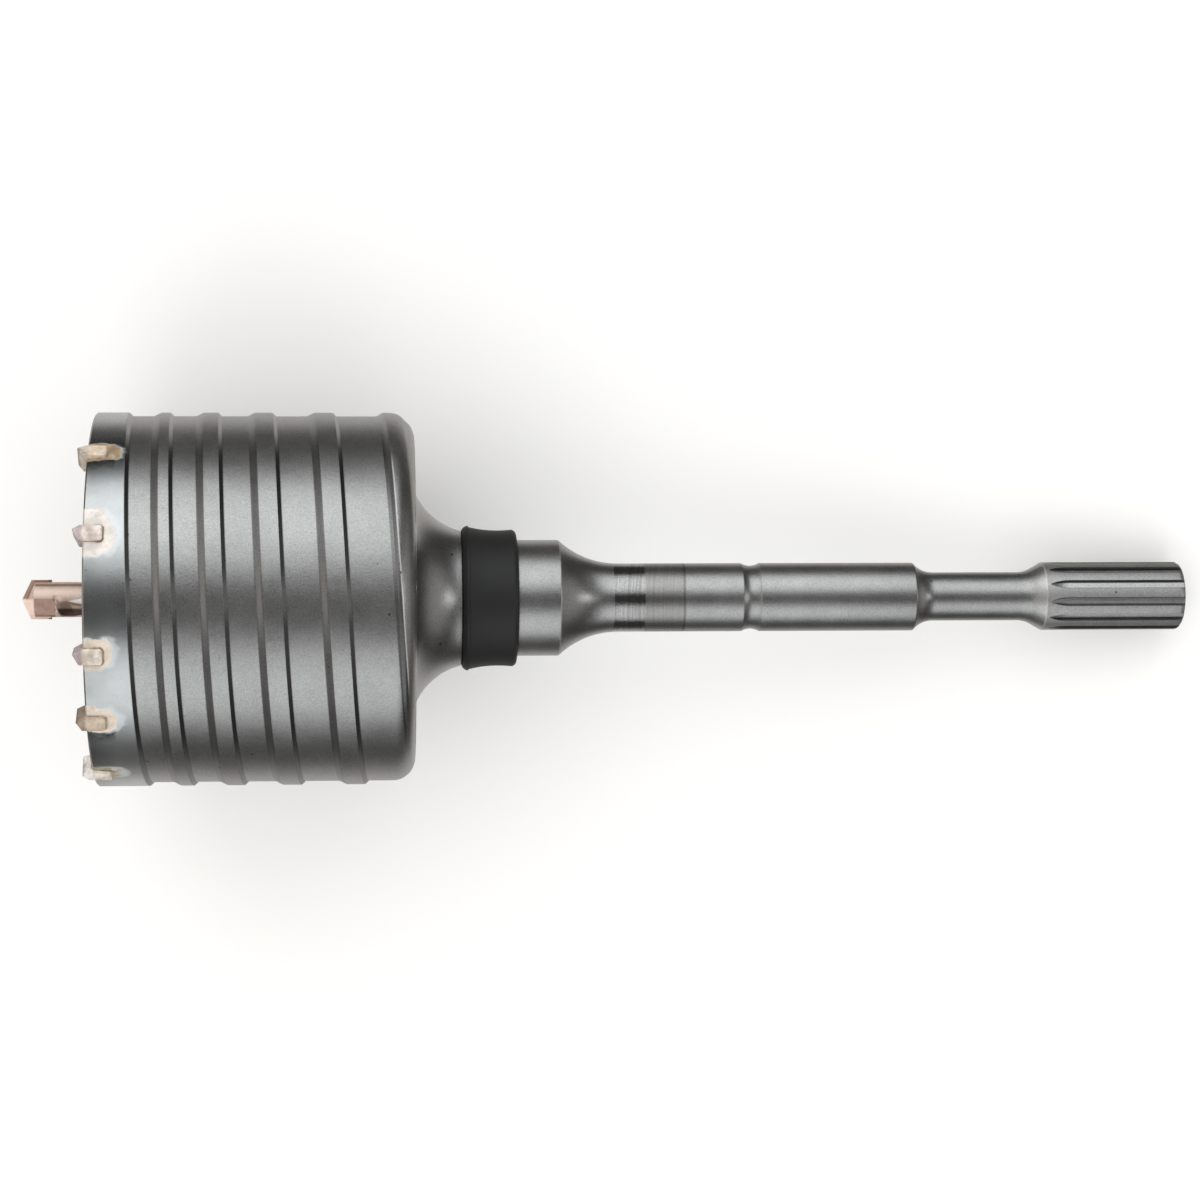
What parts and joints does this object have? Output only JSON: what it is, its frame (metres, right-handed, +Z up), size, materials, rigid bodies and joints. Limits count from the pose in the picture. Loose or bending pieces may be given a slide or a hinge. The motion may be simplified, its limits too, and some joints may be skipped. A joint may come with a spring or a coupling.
{
  "type": "core drill bit",
  "caption": "One-piece hammer core bit: helically ribbed cup with a carbide-toothed rim, centre pilot drill, rubber dust ring and a splined shank.",
  "frame": {"origin": "on the ground, midway along and across the bit as it lies on the back of its cup and the end of its spline", "axes": "+X from the toothed rim towards the splined end, seen from above; +Z up; the bit's own axis dips towards +X"},
  "size_m": [0.3194, 0.1028, 0.1167],
  "materials": {
    "blasted_steel": "blasted satin steel, polished front band",
    "carbide": "sintered carbide with a thin film of braze",
    "braze": "dull cream to brown braze metal",
    "copper_coated_steel": "copper-coated satin steel",
    "coated_carbide": "copper-coated carbide",
    "black_rubber": "matt moulded rubber"
  },
  "bodies": {
    "root": {"cutter_body": "blasted_steel", "carbide_tooth_01": "carbide", "carbide_tooth_02": "carbide", "carbide_tooth_03": "carbide", "carbide_tooth_04": "carbide", "carbide_tooth_05": "carbide", "carbide_tooth_06": "carbide", "carbide_tooth_07": "carbide", "carbide_tooth_08": "carbide", "carbide_tooth_09": "carbide", "carbide_tooth_10": "carbide", "braze_seam_01": "braze", "braze_seam_02": "braze", "braze_seam_03": "braze", "braze_seam_04": "braze", "braze_seam_05": "braze", "braze_seam_06": "braze", "braze_seam_07": "braze", "braze_seam_08": "braze", "braze_seam_09": "braze", "braze_seam_10": "braze", "pilot_drill": "copper_coated_steel", "pilot_tip_plate": "coated_carbide", "dust_ring": "black_rubber"}
  },
  "joints": []
}
